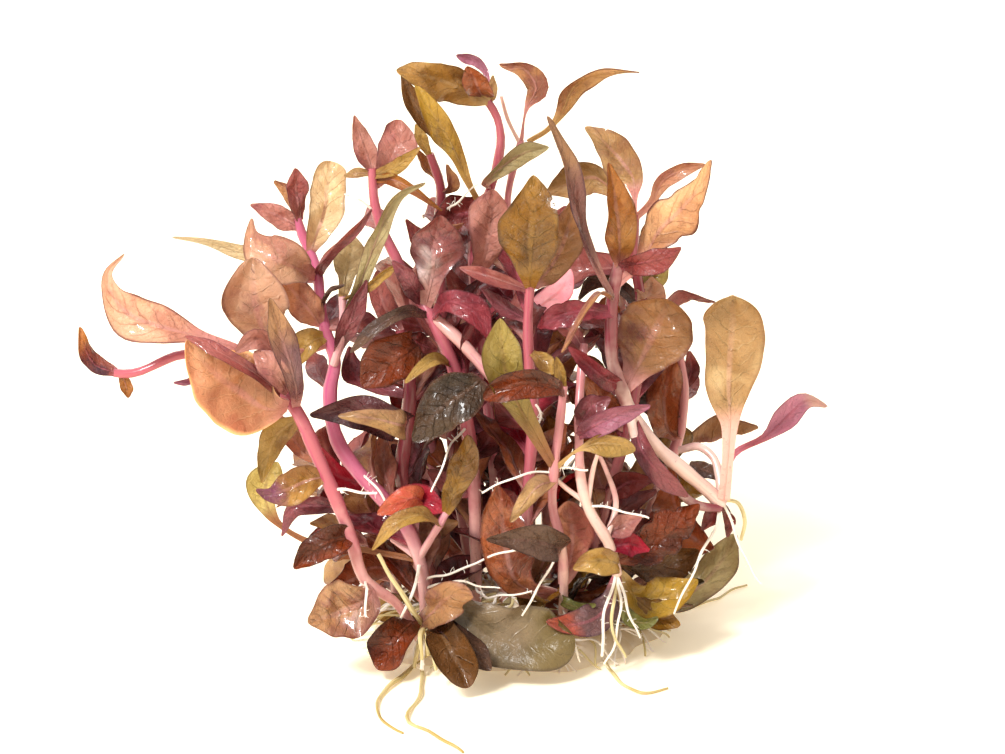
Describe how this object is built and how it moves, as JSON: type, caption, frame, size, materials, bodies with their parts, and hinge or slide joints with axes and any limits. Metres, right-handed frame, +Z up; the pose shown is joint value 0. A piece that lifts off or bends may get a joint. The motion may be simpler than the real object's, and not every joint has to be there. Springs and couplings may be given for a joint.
{
  "type": "aquarium plant clump",
  "caption": "Free-standing clump of small red, bronze and plum aquarium plantlets: pink stems with paired oval leaves, on a low mat of fine roots with a few trailing on the surface.",
  "frame": {"origin": "centre of the flat underside of the root mat, on the surface that the clump stands on", "axes": "+Z is up, -Y is the front that the picture shows, +X is to the right seen from the front"},
  "size_m": [0.0731, 0.0591, 0.0606],
  "materials": {
    "root": "pale cream and golden fine roots, slightly translucent",
    "stem": "pink translucent stems, wet sheen",
    "leaf_bronze": "bronze leaf with an amber cast, wet gloss",
    "leaf_olive": "olive bronze leaf with a pale midrib",
    "leaf_gold": "golden tan leaf with a pale midrib",
    "leaf_ochre": "ochre leaf, translucent",
    "leaf_peach": "peach leaf with rose veins and brown rims",
    "leaf_tan": "tan leaf with a rose underside",
    "leaf_rose": "rose red leaf, wet gloss",
    "leaf_crimson": "salmon to crimson leaf with light veins",
    "leaf_plum": "dark plum leaf with a grey purple underside",
    "leaf_maroon": "maroon leaf, wet gloss",
    "leaf_dark": "near black brown leaf with strong glints",
    "leaf_mauve": "grey mauve to olive leaf"
  },
  "bodies": {
    "root": {"root_tangle": "root", "shoot_far_left": "stem", "shoot_left": "stem", "shoot_inner_left": "stem", "shoot_upper_left": "stem", "shoot_top": "stem", "shoot_top_left": "stem", "shoot_top_right": "stem", "shoot_centre": "stem", "shoot_front_centre": "stem", "shoot_front_right": "stem", "shoot_right": "stem", "shoot_upper_right": "stem", "shoot_right_behind": "stem", "shoot_back_1": "stem", "shoot_back_2": "stem", "shoot_back_3": "stem", "shoot_back_4": "stem", "shoot_back_5": "stem", "shoot_back_6": "stem", "shoot_back_7": "stem", "leaf_bronze_left": "leaf_bronze", "leaf_glossy_wrinkled": "leaf_bronze", "leaf_bronze_arch": "leaf_bronze", "leaf_orange_upright": "leaf_bronze", "leaf_bronze_right": "leaf_bronze", "leaf_olive_brown": "leaf_olive", "leaf_olive_top": "leaf_olive", "leaf_olive_centre": "leaf_olive", "leaf_olive_right": "leaf_olive", "leaf_golden_top": "leaf_gold", "leaf_golden_right": "leaf_gold", "leaf_spoon": "leaf_gold", "leaf_amber_upright": "leaf_gold", "leaf_yellow_olive": "leaf_ochre", "leaf_ochre_left": "leaf_ochre", "leaf_peach_tail": "leaf_peach", "leaf_peach_top": "leaf_peach", "leaf_peach_veined": "leaf_peach", "leaf_tan_left": "leaf_tan", "leaf_tan_folded": "leaf_tan", "leaf_bronze_upper_right": "leaf_tan", "leaf_tan_behind": "leaf_tan", "leaf_salmon_round": "leaf_rose", "leaf_rose_behind": "leaf_rose", "leaf_maroon_white": "leaf_rose", "leaf_rose_middle": "leaf_rose", "leaf_rose_centre": "leaf_rose", "leaf_salmon_veined": "leaf_crimson", "leaf_plum_folded": "leaf_plum", "leaf_long_folded": "leaf_plum", "leaf_red_brown": "leaf_maroon", "leaf_ragged_brown": "leaf_maroon", "leaf_maroon_wide": "leaf_maroon", "leaf_dark_glossy": "leaf_dark", "leaf_dark_front": "leaf_dark", "leaf_brown_front": "leaf_mauve", "leaf_mauve_floor": "leaf_mauve", "leaf_plum_tip": "leaf_mauve"}
  },
  "joints": []
}
